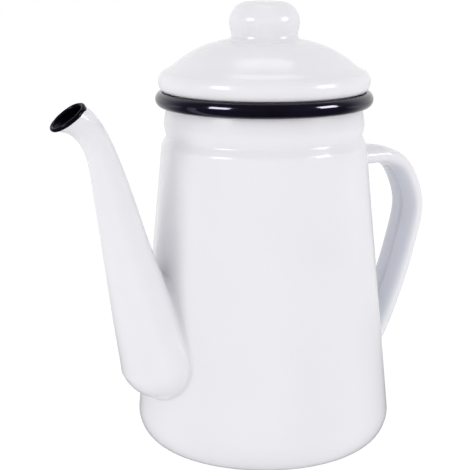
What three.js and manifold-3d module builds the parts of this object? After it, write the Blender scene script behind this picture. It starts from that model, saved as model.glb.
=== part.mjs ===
import * as THREE from 'three';
import { mergeVertices } from 'three/addons/utils/BufferGeometryUtils.js';
import Module from 'manifold-3d';

// Enamelled steel pot: a tall tapered body with a dark rolled rim, a swan spout with a dark
// dipped mouth, a rolled strap handle, and a loose lid that lifts off.
// Millimetres, +Z up. The origin is the centre of the underside.
// The spout points to -X and the handle to +X.

const wasm = await Module();
wasm.setup();

// Sheet metal, weld seams and cutting solids
const sheet = 1.0;
const seam = 0.3;
const overrun = 240;

// Body: base corner, straight cone, shoulder, groove and neck
const baseRadius = 59.6;
const baseCorner = 15.7;
const coneTopHeight = 139.5;
const shoulderStep = 1.5;
const shoulderShares = { in: 0.6, up: 0.5 };
const grooveRise = 7.5;
const grooveDepth = 0.95;
const neckBulge = 2.2;
const neckRise = 13.3;
const neckBulgeShare = 0.38;
const neckTurnShares = { in: 0.2, up: 0.69 };

// Mouth and rolled rim
const mouthRadius = 44.2;
const rimHalfWidth = 3.05;
const rimHalfHeight = 3.5;
const rimCurlAngle = 110;

// Strainer holes in the wall behind the spout
const strainerHoleRadius = 2.2;
const strainerPitch = 7.2;
const strainerRings = 2;
const strainerLift = 2;

// Spout: a round toe low on the body, a tapering shank and a mouth cut on the slant
const spoutToeHeight = 26.2;
const spoutRootDepth = 39.6;
const spoutRootBreadth = 48;
const spoutStandoff = 64;
const spoutRise = 119.2;
const spoutToeShare = 1.05;
const spoutMouthShare = 0.79;
const spoutMouthAngle = 53.5;
const spoutLipRadius = 1.0;
// Along the middle line: stand-off from the wall, rise, depth and breadth.
const spoutShares = [
  { out: -0.042, up: 0.014, deep: 0.985, broad: 1 },
  { out: 0.105, up: 0.168, deep: 0.753, broad: 0.775 },
  { out: 0.281, up: 0.411, deep: 0.566, broad: 0.54 },
  { out: 0.441, up: 0.663, deep: 0.43, broad: 0.375 },
  { out: 0.575, up: 0.847, deep: 0.33, broad: 0.262 },
  { out: 0.733, up: 0.952, deep: 0.356, broad: 0.3 },
  { out: 0.912, up: 0.986, deep: 0.366, broad: 0.322 },
  { out: 1, up: 1, deep: 0.368, broad: 0.325 },
];

// Handle: a strap rolled to a flat oval whose edges nearly meet along its inner side
const handleTopInset = 6.2;
const handleFootHeight = 39.6;
const handleStandoff = 32.5;
const handleWidth = 21;
const handleDepth = 8.4;
const handleSlot = 1.2;
const handleSquareness = 2.5;
// Along the middle line: stand-off from the wall, and drop from the top towards the foot.
const handleShares = [
  { out: -0.14, down: 0 },
  { out: 0.23, down: 0 },
  { out: 0.545, down: 0.007 },
  { out: 0.843, down: 0.078 },
  { out: 1, down: 0.27 },
  { out: 0.815, down: 0.484 },
  { out: 0.517, down: 0.718 },
  { out: 0.172, down: 0.932 },
  { out: -0.145, down: 1.06 },
  { out: -0.415, down: 1.145 },
];

// Lid: rolled edge, ledge and dome, with a collar that drops into the neck.
// Lid heights are measured from the lowest point of its rolled edge.
const lidInset = 1.4;
const lidRollHalfWidth = 3.6;
const lidRollHalfHeight = 4.9;
const lidRollStartAngle = 60;
const lidRollEndAngle = 75;
const lidKneeInset = 6.2;
const lidKneeHeight = 10.85;
const lidDomeHeight = 22.85;
const lidDomeBow = 2.05;
const lidTopMargin = 0.6;
const lidHoleRadius = 12;
const collarClearance = 1.0;
const collarReach = 9.4;

// Knob: a hollow cap, open below, through the hole in the dome
const knobRadius = 16.3;
const knobHeight = 17.8;
const knobShares = [
  { out: 1.07, up: 0 },
  { out: 0.975, up: 0.06 },
  { out: 0.945, up: 0.17 },
  { out: 0.975, up: 0.33 },
  { out: 1, up: 0.5 },
  { out: 0.955, up: 0.66 },
  { out: 0.81, up: 0.85 },
  { out: 0.6, up: 0.955 },
  { out: 0.3, up: 0.995 },
  { out: 0, up: 1 },
];

// Facet counts
const roundFacets = 48;
const knobFacets = 36;
const holeFacets = 10;
const neckSteps = 11;
const cornerSteps = 6;
const curlSteps = 9;
const rollSteps = 8;
const domeSteps = 6;
const knobSteps = 12;
const spoutSides = 20;
const spoutSteps = 18;
const toeSteps = 4;
const handleSides = 13;
const handleSteps = 26;
const lipSides = 8;
const searchSteps = 40;

// What follows from the sizes above

const radians = THREE.MathUtils.degToRad;
const at = (x, y) => new THREE.Vector2(x, y);

const neckRadius = mouthRadius + neckBulge;
const coneTopRadius = neckRadius + shoulderStep;
const grooveHeight = coneTopHeight + grooveRise;
const neckTopHeight = grooveHeight + neckRise;
const rimCentre = at(mouthRadius + rimHalfWidth, neckTopHeight + rimHalfHeight + seam);
const lidRadius = rimCentre.x + rimHalfWidth - lidInset;
const knobFootRadius = knobShares[0].out * knobRadius;

const cornerCentre = at(baseRadius - baseCorner, baseCorner);
const coneAngle = Math.atan2(baseRadius - coneTopRadius, coneTopHeight - baseCorner);
const coneFoot = at(
  cornerCentre.x + baseCorner * Math.cos(coneAngle),
  cornerCentre.y + baseCorner * Math.sin(coneAngle),
);

function wallRadiusAt(height) {
  const share = (height - coneFoot.y) / (coneTopHeight - coneFoot.y);
  return coneFoot.x + share * (coneTopRadius - coneFoot.x);
}

// Plane curves in (radius, height)

function arc(centre, halfWidth, halfHeight, fromAngle, toAngle, steps) {
  const clockwise = toAngle < fromAngle;
  const curve = new THREE.EllipseCurve(
    centre.x, centre.y, halfWidth, halfHeight, fromAngle, toAngle, clockwise,
  );
  return curve.getPoints(steps);
}

function bow(from, to, sag, steps) {
  const across = to.clone().sub(from);
  const lift = at(across.y, -across.x).setLength(2 * sag);
  const middle = from.clone().lerp(to, 0.5).add(lift);
  return new THREE.QuadraticBezierCurve(from, middle, to).getPoints(steps);
}

function rightHand(points, index) {
  const before = points[Math.max(index - 1, 0)];
  const after = points[Math.min(index + 1, points.length - 1)];
  const along = after.clone().sub(before).normalize();
  return at(along.y, -along.x);
}

function offset(points, distance) {
  return points.map((point, index) => {
    return point.clone().addScaledVector(rightHand(points, index), distance);
  });
}

// A closed section of sheet metal: one skin, its offset, and both ends cut level or upright.
function sheetSection(skin, thickness, startCut, endCut) {
  const back = offset(skin, thickness);
  const last = skin.length - 1;
  back[0][startCut] = skin[0][startCut];
  back[last][endCut] = skin[last][endCut];
  return [...skin, ...back.reverse()];
}
const level = 'y';
const upright = 'x';

// Meshes and solids

function facingOut(geometry) {
  const position = geometry.attributes.position;
  const corners = [0, 1, 2].map(() => new THREE.Vector3());
  const index = [...geometry.index.array];
  let sixVolumes = 0;
  for (let i = 0; i < index.length; i += 3) {
    corners.forEach((corner, k) => corner.fromBufferAttribute(position, index[i + k]));
    sixVolumes += corners[0].dot(corners[1].clone().cross(corners[2]));
  }
  if (sixVolumes < 0) index.reverse();
  geometry.setIndex(index);
  return geometry;
}

function welded(geometry) {
  geometry.deleteAttribute('normal');
  geometry.deleteAttribute('uv');
  const merged = mergeVertices(geometry);
  const index = [...merged.index.array];
  const kept = [];
  for (let i = 0; i < index.length; i += 3) {
    const [a, b, c] = index.slice(i, i + 3);
    if (a !== b && b !== c && c !== a) kept.push(a, b, c);
  }
  merged.setIndex(kept);
  return facingOut(merged);
}

function turned(section, facets) {
  const onAxis = section[0].x === 0;
  const geometry = new THREE.LatheGeometry(onAxis ? section : [...section, section[0]], facets);
  geometry.rotateX(Math.PI / 2);
  return welded(geometry);
}

// Rings of equal count joined into a skin. The flat end section, counterclockwise, closes
// both ends; without one the skin runs round.
function loft(rings, endSection) {
  const count = rings[0].length;
  const spans = endSection ? rings.length - 1 : rings.length;
  const triangles = [];
  for (let i = 0; i < spans; i += 1) {
    const here = i * count;
    const next = ((i + 1) % rings.length) * count;
    for (let j = 0; j < count; j += 1) {
      const k = (j + 1) % count;
      triangles.push(here + j, next + j, next + k);
      triangles.push(here + j, next + k, here + k);
    }
  }
  const end = (rings.length - 1) * count;
  const cap = endSection ? THREE.ShapeUtils.triangulateShape(endSection, []) : [];
  for (const [a, b, c] of cap) triangles.push(a, b, c, end + c, end + b, end + a);
  const geometry = new THREE.BufferGeometry();
  const numbers = rings.flat().flatMap((point) => point.toArray());
  geometry.setAttribute('position', new THREE.Float32BufferAttribute(numbers, 3));
  geometry.setIndex(triangles);
  return facingOut(geometry);
}

function solidOf(geometry) {
  return new wasm.Manifold(new wasm.Mesh({
    numProp: 3,
    vertProperties: new Float32Array(geometry.attributes.position.array),
    triVerts: new Uint32Array(geometry.index.array),
  }));
}

function geometryOf(solid) {
  const mesh = solid.getMesh();
  const geometry = new THREE.BufferGeometry();
  geometry.setAttribute('position', new THREE.BufferAttribute(mesh.vertProperties, 3));
  geometry.setIndex(new THREE.BufferAttribute(mesh.triVerts, 1));
  return geometry;
}

// All of space on the side of a plane that its normal points to
function halfSpace(point, normal) {
  const block = new THREE.BoxGeometry(2 * overrun, 2 * overrun, 2 * overrun);
  block.translate(0, 0, overrun);
  const upwards = new THREE.Vector3(0, 0, 1);
  block.applyQuaternion(new THREE.Quaternion().setFromUnitVectors(upwards, normal));
  block.translate(point.x, point.y, point.z);
  return solidOf(welded(block));
}

// Body

function bodyOutline() {
  const shoulder = at(
    coneTopRadius - shoulderShares.in * shoulderStep,
    coneTopHeight + shoulderShares.up * grooveRise,
  );
  const neckTurn = at(
    neckRadius - neckTurnShares.in * neckBulge,
    grooveHeight + neckTurnShares.up * neckRise,
  );
  const upper = new THREE.SplineCurve([
    at(coneTopRadius, coneTopHeight),
    shoulder,
    at(neckRadius - grooveDepth, grooveHeight),
    at(neckRadius, grooveHeight + neckBulgeShare * neckRise),
    neckTurn,
    at(mouthRadius + sheet, neckTopHeight),
  ]);
  return [coneFoot, ...upper.getPoints(neckSteps)];
}

function panOutline() {
  const corner = arc(cornerCentre, baseCorner, baseCorner, -Math.PI / 2, coneAngle, cornerSteps);
  return [at(0, 0), ...corner];
}

// The pot's outer form grown by one seam: it trims the roots of the spout and the handle.
function bodyForm() {
  const skin = offset([...panOutline(), ...bodyOutline().slice(1)], seam);
  skin[0].x = 0;
  const top = skin[skin.length - 1];
  return solidOf(turned([...skin, at(0, top.y)], roundFacets));
}

function basePan() {
  return turned(sheetSection(panOutline(), -sheet, upright, level), roundFacets);
}

function strainerHole(across, height) {
  const wall = wallRadiusAt(height);
  const hole = new THREE.CylinderGeometry(strainerHoleRadius, strainerHoleRadius, wall, holeFacets);
  hole.rotateZ(Math.PI / 2);
  hole.translate(-wall, across, height);
  return solidOf(welded(hole));
}

function bodyShell() {
  let shell = solidOf(turned(sheetSection(bodyOutline(), -sheet, level, level), roundFacets));
  for (let ring = 0; ring <= strainerRings; ring += 1) {
    const count = Math.max(6 * ring, 1);
    for (let i = 0; i < count; i += 1) {
      const turn = (2 * Math.PI * i) / count;
      const across = ring * strainerPitch * Math.sin(turn);
      const up = strainerLift + ring * strainerPitch * Math.cos(turn);
      shell = shell.subtract(strainerHole(across, spoutRootHeight + up));
    }
  }
  return geometryOf(shell);
}

// The rim is the neck's edge curled outwards and down.
function rimOutline(steps) {
  const curl = arc(rimCentre, rimHalfWidth, rimHalfHeight, Math.PI, -radians(rimCurlAngle), steps);
  return [at(mouthRadius, neckTopHeight), ...curl];
}

function rimCurl() {
  return turned(sheetSection(rimOutline(curlSteps), sheet, level, upright), roundFacets);
}

// Spout

const spoutRootHeight = spoutToeHeight + spoutRootDepth / 2;

const spoutRoute = new THREE.SplineCurve(spoutShares.map((row) => {
  const height = spoutRootHeight + row.up * spoutRise;
  return at(wallRadiusAt(height) + row.out * spoutStandoff, height);
}));

const spoutGirth = new THREE.SplineCurve(spoutShares.map((row) => {
  return at((row.deep * spoutRootDepth) / 2, (row.broad * spoutRootBreadth) / 2);
}));

// The oval at a share of the spout's route, on the skin that lies a given depth below the outside
function spoutOval(share, depth) {
  const half = spoutGirth.getPoint(share);
  return {
    centre: spoutRoute.getPoint(share),
    along: spoutRoute.getTangent(share),
    deep: half.x - depth,
    broad: half.y - depth,
  };
}

// The toe closes the root with a rounded end, fuller than a half ball.
function toeOval(root, share) {
  const turn = (Math.PI / 2) * share;
  const width = Math.cos(turn) ** spoutToeShare;
  return {
    centre: root.centre.clone().addScaledVector(root.along, -root.deep * Math.sin(turn)),
    along: root.along,
    deep: root.deep * width,
    broad: root.broad * width,
  };
}

function ovalRing(oval) {
  return circle(spoutSides).map((unit) => {
    const out = oval.deep * unit.x;
    return new THREE.Vector3(
      -(oval.centre.x + out * oval.along.y),
      oval.broad * unit.y,
      oval.centre.y - out * oval.along.x,
    );
  });
}

function circle(count) {
  return Array.from({ length: count }, (unused, i) => {
    const turn = (2 * Math.PI * i) / count;
    return at(Math.cos(turn), Math.sin(turn));
  });
}

function spoutRings(depth) {
  const rings = [];
  const root = spoutOval(0, depth);
  for (let i = toeSteps; i > 0; i -= 1) rings.push(ovalRing(toeOval(root, i / (toeSteps + 1))));
  for (let i = 0; i <= spoutSteps; i += 1) rings.push(ovalRing(spoutOval(i / spoutSteps, depth)));
  return rings;
}

function spoutBlock(depth) {
  return solidOf(loft(spoutRings(depth), circle(spoutSides)));
}

function mouthPlane(height) {
  const angle = radians(spoutMouthAngle);
  const normal = new THREE.Vector3(-Math.cos(angle), 0, Math.sin(angle));
  const centre = spoutRoute.getPoint(spoutMouthShare);
  const point = new THREE.Vector3(-centre.x, 0, centre.y).addScaledVector(normal, height);
  return { point, normal };
}

function spoutTube() {
  const mouth = mouthPlane(-2 * spoutLipRadius - seam);
  const tube = spoutBlock(0).subtract(spoutBlock(sheet)).subtract(bodyForm());
  return tube.subtract(halfSpace(mouth.point, mouth.normal));
}

// Two pressed halves meet on the middle plane.
function spoutHalf(tube, side) {
  const cut = halfSpace(new THREE.Vector3(), new THREE.Vector3(0, side, 0));
  return geometryOf(tube.intersect(cut));
}

// The line round the middle of the sheet where the spout crosses a plane
function mouthLine(plane) {
  const rings = spoutRings(sheet / 2);
  const above = (point) => point.clone().sub(plane.point).dot(plane.normal);
  return rings[0].map((unused, side) => {
    const line = rings.map((ring) => ring[side]);
    const last = line.findLastIndex((point) => above(point) < 0);
    const before = above(line[last]);
    const after = above(line[last + 1]);
    return line[last].clone().lerp(line[last + 1], before / (before - after));
  });
}

// The lip is a bead that rolls round the edge, and its top lies in the plane of the mouth.
function spoutLip() {
  const plane = mouthPlane(-spoutLipRadius);
  const line = mouthLine(plane);
  return loft(line.map((centre, i) => {
    const before = line[(i + line.length - 1) % line.length];
    const after = line[(i + 1) % line.length];
    const outwards = after.clone().sub(before).cross(plane.normal).normalize();
    return circle(lipSides).map((unit) => {
      return centre.clone()
        .addScaledVector(outwards, spoutLipRadius * unit.x)
        .addScaledVector(plane.normal, spoutLipRadius * unit.y);
    });
  }));
}

// Handle

const handleTopHeight = coneTopHeight - handleTopInset;
const handleDrop = handleTopHeight - handleFootHeight;

function handleSkin(depth) {
  const squareness = 2 / handleSquareness;
  const slotTurn = Math.asin((handleSlot / handleWidth) ** (1 / squareness));
  const bent = (value) => Math.sign(value) * Math.abs(value) ** squareness;
  const skin = [];
  for (let i = 0; i <= handleSides; i += 1) {
    const turn = slotTurn + (i / handleSides) * 2 * (Math.PI - slotTurn);
    skin.push(at(
      (handleDepth / 2 - depth) * bent(Math.cos(turn)),
      (handleWidth / 2 - depth) * bent(Math.sin(turn)),
    ));
  }
  return skin;
}

function handleStrap() {
  const route = new THREE.SplineCurve(handleShares.map((row) => {
    const height = handleTopHeight - row.down * handleDrop;
    return at(wallRadiusAt(height) + row.out * handleStandoff, height);
  }));
  const section = [...handleSkin(0), ...handleSkin(sheet).reverse()];
  const rings = [];
  for (let i = 0; i <= handleSteps; i += 1) {
    const centre = route.getPointAt(i / handleSteps);
    const along = route.getTangentAt(i / handleSteps);
    rings.push(section.map((point) => new THREE.Vector3(
      centre.x + point.x * along.y,
      point.y,
      centre.y - point.x * along.x,
    )));
  }
  return geometryOf(solidOf(loft(rings, section)).subtract(bodyForm()));
}

// Lid

function lidOutline(steps) {
  const start = radians(lidRollStartAngle);
  const roll = arc(
    at(lidRadius - lidRollHalfWidth, lidRollHalfHeight * Math.sin(start)),
    lidRollHalfWidth, lidRollHalfHeight, -start, radians(lidRollEndAngle), steps,
  );
  const knee = at(lidRadius - lidKneeInset, lidKneeHeight);
  const domeTop = at(knobFootRadius + lidTopMargin, lidDomeHeight);
  const dome = bow(knee, domeTop, lidDomeBow, domeSteps);
  return [...roll, ...dome, at(lidHoleRadius, lidDomeHeight)];
}

function lidDome() {
  return turned(sheetSection(lidOutline(rollSteps), -sheet, upright, upright), roundFacets);
}

function leastGap(points, line) {
  let least = Infinity;
  for (let i = 1; i < line.length; i += 1) {
    const edge = new THREE.Line3(
      new THREE.Vector3(line[i - 1].x, line[i - 1].y, 0),
      new THREE.Vector3(line[i].x, line[i].y, 0),
    );
    for (const point of points) {
      const spot = new THREE.Vector3(point.x, point.y, 0);
      const nearest = edge.closestPointToPoint(spot, true, new THREE.Vector3());
      least = Math.min(least, nearest.distanceTo(spot));
    }
  }
  return least;
}

// How high the lid sits when its rolled edge nests on the rim, one seam clear of it
function lidSeatHeight() {
  const rim = rimOutline(searchSteps);
  const roll = lidOutline(searchSteps).slice(0, searchSteps);
  let low = rimCentre.y;
  let high = rimCentre.y + rimHalfHeight + 2 * seam;
  for (let i = 0; i < searchSteps; i += 1) {
    const middle = (low + high) / 2;
    const raised = roll.map((point) => at(point.x, point.y + middle));
    if (leastGap(raised, rim) < seam) low = middle;
    else high = middle;
  }
  return high;
}

function lidUndersideAt(radius) {
  const under = offset(lidOutline(rollSteps), -sheet).slice(rollSteps);
  const inner = under.findIndex((point) => point.x < radius);
  const share = (radius - under[inner].x) / (under[inner - 1].x - under[inner].x);
  return under[inner].y + share * (under[inner - 1].y - under[inner].y);
}

// A band welded to the underside: it keeps the lid in the neck when the pot is tipped.
function lidCollar() {
  const outer = mouthRadius - collarClearance;
  const inner = outer - sheet;
  const top = Math.min(lidUndersideAt(outer), lidUndersideAt(inner)) - seam;
  const section = [at(inner, -collarReach), at(outer, -collarReach), at(outer, top), at(inner, top)];
  return turned(section, roundFacets);
}

function lidKnob() {
  const outline = new THREE.SplineCurve(knobShares.map((row) => {
    return at(row.out * knobRadius, row.up * knobHeight);
  }));
  const section = sheetSection(outline.getPoints(knobSteps), -sheet, level, upright);
  return turned(section, knobFacets);
}

// Finishes

function whiteEnamel() {
  return new THREE.MeshStandardMaterial({ color: 0xe9e8ee, roughness: 0.14, metalness: 0 });
}

function darkEnamel() {
  return new THREE.MeshStandardMaterial({ color: 0x120f1c, roughness: 0.12, metalness: 0 });
}

function piece(name, geometry, material) {
  const mesh = new THREE.Mesh(geometry, material);
  mesh.name = name;
  return mesh;
}

// The pot

function pot() {
  const group = new THREE.Group();
  const tube = spoutTube();
  group.add(piece('body_shell', bodyShell(), whiteEnamel()));
  group.add(piece('base_pan', basePan(), whiteEnamel()));
  group.add(piece('rim_curl', rimCurl(), darkEnamel()));
  group.add(piece('spout_left', spoutHalf(tube, 1), whiteEnamel()));
  group.add(piece('spout_right', spoutHalf(tube, -1), whiteEnamel()));
  group.add(piece('spout_lip', spoutLip(), darkEnamel()));
  group.add(piece('handle_strap', handleStrap(), whiteEnamel()));
  return group;
}

function lid() {
  const group = new THREE.Group();
  group.position.z = lidSeatHeight();
  group.add(piece('lid_dome', lidDome(), whiteEnamel()));
  group.add(piece('lid_collar', lidCollar(), whiteEnamel()));
  const knob = piece('lid_knob', lidKnob(), whiteEnamel());
  knob.position.z = lidDomeHeight;
  group.add(knob);
  return group;
}

const kettle = new THREE.Group();
kettle.add(pot(), lid());

export default kettle;
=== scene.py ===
# %% [markdown]
# # An enamel pot with a swan spout and a lift-off lid
#
# The pot is thin sheet steel under a thick coat of fired glass. The steel gives the shapes:
# a spun body, a rolled rim, a spout and a strap handle welded on. The glass gives the look:
# milky white, wet and glossy, with every edge and weld a little rounded where the melt ran.
# The measured model is loaded first. It says where every piece sits, and nothing here moves it.

import math

import bmesh
import bpy
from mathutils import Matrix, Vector


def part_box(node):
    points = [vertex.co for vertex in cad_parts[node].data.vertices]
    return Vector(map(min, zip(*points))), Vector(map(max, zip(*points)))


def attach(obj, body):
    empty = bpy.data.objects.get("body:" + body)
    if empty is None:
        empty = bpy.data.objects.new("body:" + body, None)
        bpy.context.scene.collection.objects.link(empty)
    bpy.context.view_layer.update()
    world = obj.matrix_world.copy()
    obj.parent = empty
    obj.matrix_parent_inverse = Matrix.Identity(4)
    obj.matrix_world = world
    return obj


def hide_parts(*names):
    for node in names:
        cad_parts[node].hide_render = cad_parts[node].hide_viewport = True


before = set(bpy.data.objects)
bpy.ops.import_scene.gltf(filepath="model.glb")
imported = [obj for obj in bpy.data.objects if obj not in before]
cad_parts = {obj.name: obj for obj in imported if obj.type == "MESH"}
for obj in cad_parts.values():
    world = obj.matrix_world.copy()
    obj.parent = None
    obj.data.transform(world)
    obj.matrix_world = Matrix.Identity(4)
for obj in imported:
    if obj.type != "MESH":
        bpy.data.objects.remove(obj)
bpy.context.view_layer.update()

# %% [markdown]
# ## Sizes
#
# The same few sizes that drive the measured model drive the smooth one. They are written in
# millimetres, times `MM`, because sheet metal is measured that way, while Blender counts
# metres.

# %% Sizes of the pot
MM = 0.001
SHEET = 1.0 * MM
BASE_RADIUS = 59.6 * MM
BASE_CORNER = 15.7 * MM
CONE_TOP_HEIGHT = 139.5 * MM
SHOULDER_STEP = 1.5 * MM
GROOVE_RISE = 7.5 * MM
GROOVE_DEPTH = 0.95 * MM
NECK_BULGE = 2.2 * MM
NECK_RISE = 13.3 * MM
MOUTH_RADIUS = 44.2 * MM
NECK_RADIUS = MOUTH_RADIUS + NECK_BULGE
CONE_TOP_RADIUS = NECK_RADIUS + SHOULDER_STEP
GROOVE_HEIGHT = CONE_TOP_HEIGHT + GROOVE_RISE
NECK_TOP_HEIGHT = GROOVE_HEIGHT + NECK_RISE
print("body", round(BASE_RADIUS / MM), "mm in radius and", round(NECK_TOP_HEIGHT / MM), "mm tall")

# %% [markdown]
# ## The camera
#
# The picture was taken from a little above, with a long lens, about two thirds of a metre
# from the pot. A long lens keeps the sides of the cone straight. The camera stands on the
# spout's side of the handle, so the spout reaches left and the handle hides partly behind
# the body. It is placed by turning round the pot's axis, which is easier to reason about
# than a point in space.

# %% Camera
CAMERA_DISTANCE = 0.660
CAMERA_HEIGHT = 0.2448
CAMERA_TURN = math.radians(31)
CAMERA_TILT = math.radians(12.44)
CAMERA_SWING = math.radians(1.17)
LENS = 109.8

camera_data = bpy.data.cameras.new("camera")
camera_data.lens = LENS
camera = bpy.data.objects.new("camera", camera_data)
camera.location = (
    -CAMERA_DISTANCE * math.sin(CAMERA_TURN),
    -CAMERA_DISTANCE * math.cos(CAMERA_TURN),
    CAMERA_HEIGHT,
)
camera.rotation_euler = (math.pi / 2 - CAMERA_TILT, 0, CAMERA_SWING - CAMERA_TURN)
bpy.context.scene.collection.objects.link(camera)
bpy.context.scene.camera = camera
bpy.context.scene.view_settings.view_transform = "Standard"
print("camera at", [round(value, 3) for value in camera.location])

# %% [markdown]
# ## The room
#
# Glossy enamel shows what stands around it, and the picture tells what that was. The dark
# rim is almost black in front and paler at its two ends, so the pot stood before a white
# backdrop while the room on the camera's side was dim. The white body is nearly even, so
# the light itself came from all round, with a little more of it from above.
#
# One world does all of that. The Light Path node tells what kind of ray asks: the camera
# sees plain white, a reflection sees the white backdrop behind the pot and the dim room in
# front of it, and all other light comes from an even dome.

# %% White surroundings
DOME_LIGHT_LOW = 0.635
DOME_LIGHT_HIGH = 0.88
BACKDROP_WHITE = 1.0
DIM_SIDE = 0.08
BACKDROP_EDGE = -0.75
DIM_EDGE = 0.0

world = bpy.data.worlds.new("room")
bpy.context.scene.world = world
world.use_nodes = True
room = world.node_tree
room.nodes.clear()


def ramp(tree, value, low, high, to_low, to_high):
    """Goes smoothly from one value to another while its input goes from low to high."""
    step = tree.nodes.new("ShaderNodeMapRange")
    step.interpolation_type = "SMOOTHSTEP"
    for name, number in (("From Min", low), ("From Max", high), ("To Min", to_low), ("To Max", to_high)):
        step.inputs[name].default_value = number
    tree.links.new(value, step.inputs["Value"])
    return step.outputs["Result"]


def choose(tree, switch, off, on):
    """One value where the switch is zero, the other where it is one."""
    pick = tree.nodes.new("ShaderNodeMix")
    tree.links.new(switch, pick.inputs["Factor"])
    for socket, value in ((pick.inputs["A"], off), (pick.inputs["B"], on)):
        if isinstance(value, float):
            socket.default_value = value
        else:
            tree.links.new(value, socket)
    return pick.outputs["Result"]


def towards(tree, direction, heading):
    """How far a direction points along a heading, from -1 to 1."""
    along = tree.nodes.new("ShaderNodeVectorMath")
    along.operation = "DOT_PRODUCT"
    along.inputs[1].default_value = heading
    tree.links.new(direction, along.inputs[0])
    return along.outputs["Value"]


ray = room.nodes.new("ShaderNodeLightPath")
direction = room.nodes.new("ShaderNodeTexCoord").outputs["Generated"]
camera_side = (-math.sin(CAMERA_TURN), -math.cos(CAMERA_TURN), 0)
dome_light = ramp(
    room, towards(room, direction, (0, 0, 1)), 0, 1, DOME_LIGHT_LOW, DOME_LIGHT_HIGH,
)
mirrored = ramp(
    room, towards(room, direction, camera_side), BACKDROP_EDGE, DIM_EDGE, BACKDROP_WHITE, DIM_SIDE,
)
strength = choose(room, ray.outputs["Is Glossy Ray"], dome_light, mirrored)
strength = choose(room, ray.outputs["Is Transmission Ray"], strength, mirrored)
strength = choose(room, ray.outputs["Is Camera Ray"], strength, BACKDROP_WHITE)
background = room.nodes.new("ShaderNodeBackground")
background.inputs["Color"].default_value = (1, 1, 1, 1)
sky = room.nodes.new("ShaderNodeOutputWorld")
room.links.new(strength, background.inputs["Strength"])
room.links.new(background.outputs["Background"], sky.inputs["Surface"])
print("dome light", DOME_LIGHT_LOW, "to", DOME_LIGHT_HIGH, "and backdrop", BACKDROP_WHITE)

# %% [markdown]
# ## The lamps
#
# Two soft boxes stood in front, one on each side. They left the pairs of small bright spots
# on the knob, the lid, the rim and the shoulder, and from the places of those spots their
# directions were worked out. Here each box is two lamps. The glint is bright, stands where
# the spots say and is only seen in reflections. The light is weak, sheds light only, and
# stands lower and at a turn of its own, where its shade under the rim is the picture's. So
# the spots can be as bright as in the picture while the white stays below white.
#
# The fifth lamp is a panel high up behind the pot. It is only seen in reflections too, as
# a soft sheen on what faces up and forward, such as the top of the rim.

# %% Two soft boxes and a panel
LAMP_DISTANCE = 1.2
LAMP_APART = 0.05
LAMP_RISE = 22
LIGHT_RISE = 12
LAMP_WIDTH = 0.44
LAMP_HEIGHT = 0.42
GLINT_POWER = 13.5
LAMP_TARGET = Vector((0, 0, 0.15))
SOFT_BOXES = [
    # side, turn of the glint, turn of the light, power of the light
    ("left", -48, -60, 3.3),
    ("right", 71, 60, 3.2),
]
PANEL_TURN = 180
PANEL_RISE = 75
PANEL_DISTANCE = 1.0
PANEL_POWER = 1.8
PANEL_SIZE = (0.54, 0.3)


def add_lamp(name, turn, rise, distance, power, size=(LAMP_WIDTH, LAMP_HEIGHT)):
    """A soft box aimed at the pot; turn is from the camera, to the right, rise above it."""
    heading = math.radians(turn) - CAMERA_TURN
    lift = math.radians(rise)
    away = Vector((
        math.sin(heading) * math.cos(lift),
        -math.cos(heading) * math.cos(lift),
        math.sin(lift),
    ))
    data = bpy.data.lights.new(name, "AREA")
    data.shape = "RECTANGLE"
    data.size, data.size_y = size
    data.energy = power
    lamp = bpy.data.objects.new(name, data)
    lamp.location = LAMP_TARGET + away * distance
    lamp.rotation_euler = away.to_track_quat("Z", "Y").to_euler()
    bpy.context.scene.collection.objects.link(lamp)
    return lamp


for side, turn, light_turn, power in SOFT_BOXES:
    light = add_lamp("light_" + side, light_turn, LIGHT_RISE, LAMP_DISTANCE + LAMP_APART, power)
    light.visible_glossy = False
    glint = add_lamp("glint_" + side, turn, LAMP_RISE, LAMP_DISTANCE, GLINT_POWER)
    glint.visible_diffuse = False
panel = add_lamp("panel", PANEL_TURN, PANEL_RISE, PANEL_DISTANCE, PANEL_POWER, PANEL_SIZE)
panel.visible_diffuse = False
print("soft boxes", LAMP_DISTANCE, "m away and a panel", PANEL_DISTANCE, "m away")

# %% [markdown]
# ## The floor
#
# The floor is a large white sheet. Where the pot meets it, a little light is lost and a
# soft shadow stays. The camera sees most of the floor as plain white, so that the pot
# stands on the same white that is behind it. Light that bounces from the pot sees a part
# of it so too, which keeps the low parts of the pot as pale as in the picture. In
# reflections the floor is dim on the camera's side, like the room there.

# %% Floor
FLOOR_SIZE = 6.0
FLOOR_WHITE_SHARE = 0.88
FLOOR_BOUNCE_SHARE = 0.6
FLOOR_WHITE = 1.06
PAPER_TONE = 0.95
DIM_FLOOR = 0.05
DIM_FROM = -0.30
DIM_TO = 0.0

bpy.ops.object.select_all(action="DESELECT")
bpy.ops.mesh.primitive_plane_add(size=FLOOR_SIZE, location=(0, 0, 0))
floor = bpy.context.object
floor.name = "floor"
paper = bpy.data.materials.new("floor_paper")
paper.use_nodes = True
sheet_nodes = paper.node_tree
sheet_nodes.nodes.clear()
matt = sheet_nodes.nodes.new("ShaderNodeBsdfDiffuse")
plain = sheet_nodes.nodes.new("ShaderNodeEmission")
plain.inputs["Strength"].default_value = FLOOR_WHITE
eye = sheet_nodes.nodes.new("ShaderNodeLightPath")
blend = sheet_nodes.nodes.new("ShaderNodeMixShader")
surface = sheet_nodes.nodes.new("ShaderNodeOutputMaterial")
spot = sheet_nodes.nodes.new("ShaderNodeTexCoord").outputs["Object"]
seen_in_gloss = ramp(
    sheet_nodes, towards(sheet_nodes, spot, camera_side), DIM_FROM, DIM_TO, PAPER_TONE, DIM_FLOOR,
)
tone = choose(sheet_nodes, eye.outputs["Is Glossy Ray"], PAPER_TONE, seen_in_gloss)
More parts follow.
